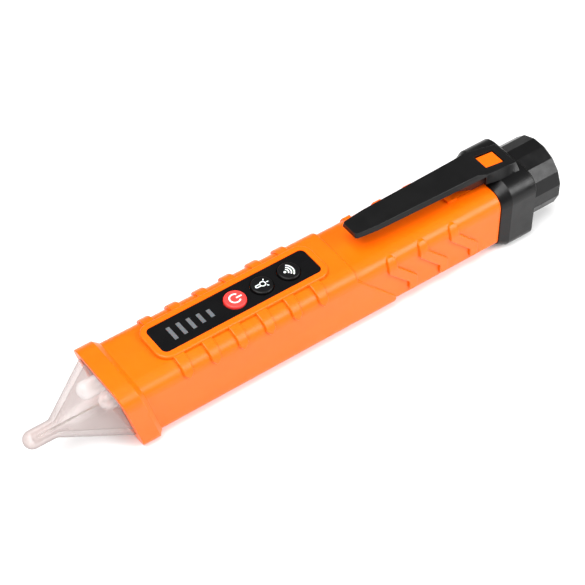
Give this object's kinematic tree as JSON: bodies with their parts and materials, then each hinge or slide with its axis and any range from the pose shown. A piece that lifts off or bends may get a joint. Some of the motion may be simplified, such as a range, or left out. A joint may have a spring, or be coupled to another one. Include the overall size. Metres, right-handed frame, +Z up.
{
  "type": "non-contact voltage tester",
  "caption": "Pen-shaped non-contact voltage tester: clear sensing nose, ribbed sleeve with button panel, cell bay and pull-off tail cap with pocket clip.",
  "frame": {"origin": "middle of the pen's length and width, on the surface it rests on", "axes": "+X along the pen from the sensing tip to the tail, +Z up through the button panel, +Y to the side"},
  "size_m": [0.16, 0.0234, 0.0253],
  "materials": {
    "orange_shell": "fine satin moulded ABS",
    "clear_nose": "clear polycarbonate, slightly milky",
    "black_panel": "smooth semi-gloss",
    "bar_diffuser": "frosted light guide",
    "red_button": "soft satin",
    "black_button": "soft satin",
    "black_cap": "satin, finely sparked",
    "white_plastic": "plain",
    "led_lens": "clear epoxy",
    "alarm_lens": "lightly tinted epoxy",
    "circuit_board": "green solder mask",
    "component_black": "moulded epoxy",
    "component_tan": "fired chip body",
    "nickel": "bright nickel plate",
    "brass_strip": "rolled strip",
    "cell_jacket": "shrunk film",
    "sleeve_plastic": "natural grey",
    "screw_steel": "zinc plated"
  },
  "bodies": {
    "casing": {"body_shell": "orange_shell", "nose_cone": "clear_nose", "antenna_pin": "nickel", "lamp_led": "led_lens", "alarm_led": "alarm_lens", "led_holder": "white_plastic", "panel_overlay": "black_panel", "bar_light_guide": "bar_diffuser", "power_switch": "nickel", "lamp_switch": "nickel", "sensitivity_switch": "nickel", "main_board": "circuit_board", "bar_leds": "white_plastic", "controller_chip": "component_black", "buzzer": "component_black", "board_components": "component_tan", "board_screws": "screw_steel", "battery_sleeve": "sleeve_plastic", "front_cell": "cell_jacket", "rear_cell": "cell_jacket", "front_contact": "nickel", "return_strip": "brass_strip"},
    "power_key": {"power_button": "red_button", "power_stem": "component_black"},
    "lamp_key": {"lamp_button": "black_button", "lamp_stem": "component_black"},
    "sensitivity_key": {"sensitivity_button": "black_button", "sensitivity_stem": "component_black"},
    "latch": {"latch_tongue": "orange_shell"},
    "tail_cap": {"tail_collar": "black_cap", "tail_knob": "black_cap", "clip_root": "black_cap", "tail_contact": "nickel", "tail_spring": "nickel"},
    "clip": {"clip_arm": "black_cap"}
  },
  "joints": [
    {"name": "power_press", "type": "slide", "parent": "casing", "child": "power_key", "axis": [0, 0, -1], "range_m": [0, 0.00035], "stiffness_N_per_m": 3000, "springref_m": -0.0003},
    {"name": "lamp_press", "type": "slide", "parent": "casing", "child": "lamp_key", "axis": [0, 0, -1], "range_m": [0, 0.00035], "stiffness_N_per_m": 3000, "springref_m": -0.0003},
    {"name": "sensitivity_press", "type": "slide", "parent": "casing", "child": "sensitivity_key", "axis": [0, 0, -1], "range_m": [0, 0.00035], "stiffness_N_per_m": 3000, "springref_m": -0.0003},
    {"name": "latch_press", "type": "hinge", "parent": "casing", "child": "latch", "pos_m": [0.0478, 0, 0.0186], "axis": [0, 1, 0], "range_deg": [0, 5], "stiffness_Nm_per_rad": 0.4},
    {"name": "cap_pull", "type": "slide", "parent": "casing", "child": "tail_cap", "axis": [1, 0, 0], "range_m": [0, 0.03], "deforming": ["latch_tongue"]},
    {"name": "clip_flex", "type": "hinge", "parent": "tail_cap", "child": "clip", "pos_m": [0.047, 0, 0.0253], "axis": [0, 1, 0], "range_deg": [0, 6], "stiffness_Nm_per_rad": 1.5}
  ]
}
